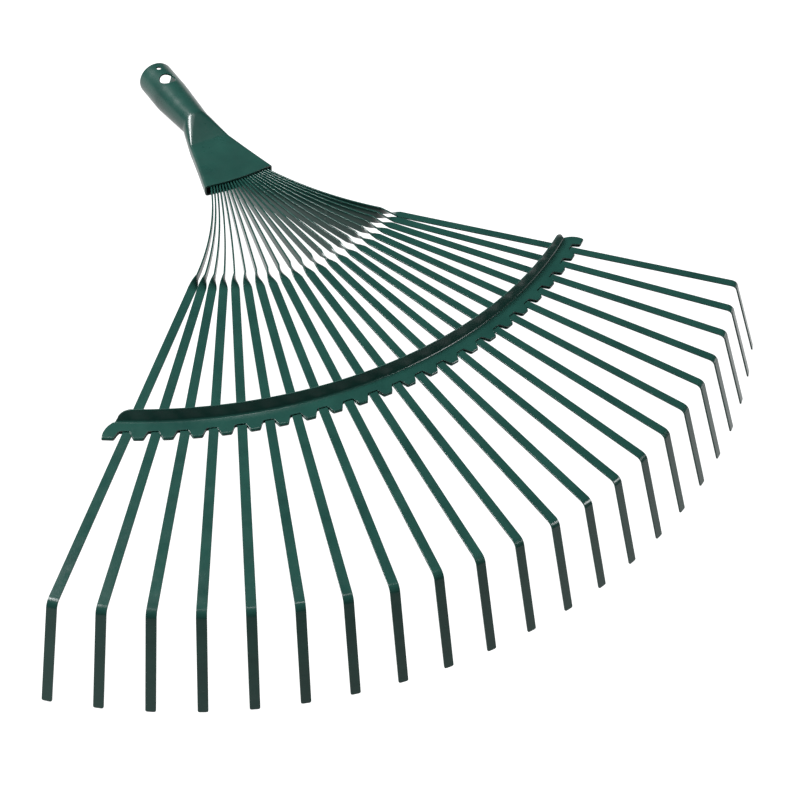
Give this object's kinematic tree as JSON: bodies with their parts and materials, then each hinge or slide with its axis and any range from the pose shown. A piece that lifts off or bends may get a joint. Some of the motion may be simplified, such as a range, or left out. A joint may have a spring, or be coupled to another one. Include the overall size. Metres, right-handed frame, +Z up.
{
  "type": "lawn rake head",
  "caption": "Fan-shaped head of a lawn rake: flat steel spring tines with down-turned ends, held in a pressed handle socket and spaced by a folded cross brace",
  "frame": {"origin": "centre of the bottom of the bounding box, on the ground the head rests on", "axes": "+Z up; the tines reach towards -Y and the handle socket opens towards +Y; X runs across the fan"},
  "size_m": [0.4824, 0.4626, 0.0571],
  "materials": {
    "socket_coat": "gloss dark green powder coat on pressed steel",
    "brace_coat": "gloss dark green powder coat on folded steel sheet",
    "tine_coat": "gloss dark green powder coat on spring steel strip",
    "rod_steel": "plain drawn steel rod"
  },
  "bodies": {
    "root": {"handle_socket": "socket_coat", "cross_brace": "brace_coat", "tine_retaining_rod": "rod_steel", "tine_01": "tine_coat", "tine_02": "tine_coat", "tine_03": "tine_coat", "tine_04": "tine_coat", "tine_05": "tine_coat", "tine_06": "tine_coat", "tine_07": "tine_coat", "tine_08": "tine_coat", "tine_09": "tine_coat", "tine_10": "tine_coat", "tine_11": "tine_coat", "tine_12": "tine_coat", "tine_13": "tine_coat", "tine_14": "tine_coat", "tine_15": "tine_coat", "tine_16": "tine_coat", "tine_17": "tine_coat", "tine_18": "tine_coat", "tine_19": "tine_coat", "tine_20": "tine_coat", "tine_21": "tine_coat", "tine_22": "tine_coat"}
  },
  "joints": []
}
